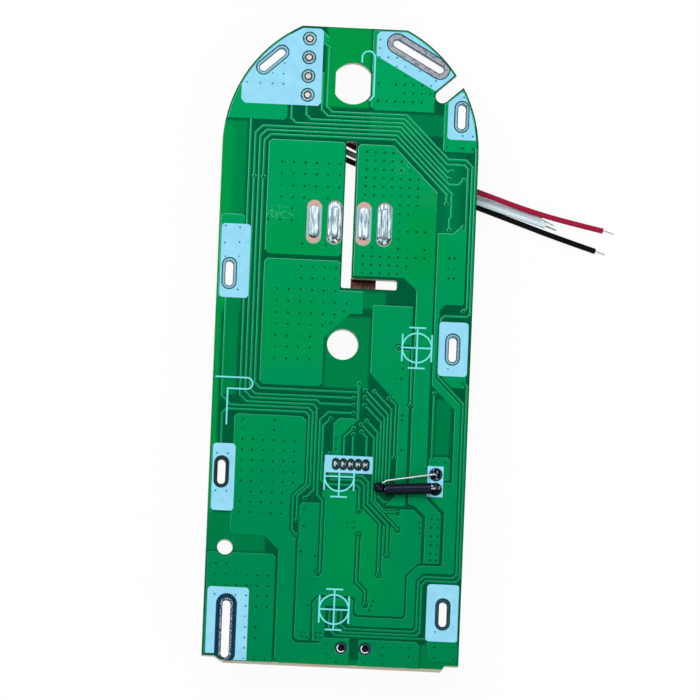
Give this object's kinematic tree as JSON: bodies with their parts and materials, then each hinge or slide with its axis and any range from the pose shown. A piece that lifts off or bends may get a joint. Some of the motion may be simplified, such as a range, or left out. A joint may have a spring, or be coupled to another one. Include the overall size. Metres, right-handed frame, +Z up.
{
  "type": "battery protection board",
  "caption": "Green protection board for a seven-cell lithium battery, solder side up, with its output terminals, charging socket, signal header, temperature sensor and four short wires.",
  "frame": {"origin": "under the middle of the board, on the surface that its two output terminals and charging socket stand on", "axes": "+X across the board, +Y along it towards the end with the oval hole, +Z up from the terminals to the solder side"},
  "size_m": [0.0664, 0.1076, 0.0116],
  "materials": {
    "mask_green": "gloss green solder mask",
    "print_pale": "matt pale print",
    "tin_plate": "dull tin",
    "power_plate": "dull grey tin",
    "solder": "bright, slightly rough",
    "terminal_metal": "tinned bronze",
    "strand": "tinned copper strands",
    "shunt_alloy": "satin resistance alloy",
    "wire_white": "soft white",
    "wire_red": "soft red",
    "wire_black": "soft black",
    "black_plastic": "moulded black",
    "ivory_plastic": "moulded ivory",
    "sensor_black": "black resin and sleeve",
    "capacitor_tan": "fired ceramic"
  },
  "bodies": {
    "root": {"board_laminate": "mask_green", "solder_side_copper": "mask_green", "print_panels": "print_pale", "print_marks": "print_pale", "tab_slot_platings": "tin_plate", "wire_hole_platings": "tin_plate", "header_hole_platings": "tin_plate", "socket_hole_platings": "tin_plate", "sensor_hole_platings": "tin_plate", "terminal_pads": "tin_plate", "component_side_copper": "tin_plate", "header_pin_row": "tin_plate", "socket_contacts": "tin_plate", "sensor_lead_covered": "tin_plate", "sensor_lead_bare": "tin_plate", "front_end_leads": "tin_plate", "controller_leads": "tin_plate", "switch_tabs": "tin_plate", "switch_leads": "tin_plate", "resistor_ends": "tin_plate", "capacitor_ends": "tin_plate", "power_slot_platings": "power_plate", "terminal_solder": "solder", "header_solder": "solder", "sensor_solder": "solder", "wire_solder": "solder", "output_terminal_left": "terminal_metal", "output_terminal_right": "terminal_metal", "wire_strand_ends": "strand", "wire_tips": "strand", "shunt_strap": "shunt_alloy", "wire_white_upper": "wire_white", "wire_white_lower": "wire_white", "wire_red": "wire_red", "wire_black": "wire_black", "socket_housing": "black_plastic", "switch_bodies": "black_plastic", "front_end_body": "black_plastic", "controller_body": "black_plastic", "resistor_bodies": "black_plastic", "header_housing": "ivory_plastic", "sensor_bead": "sensor_black", "sensor_sleeve": "sensor_black", "capacitor_bodies": "capacitor_tan"}
  },
  "joints": []
}
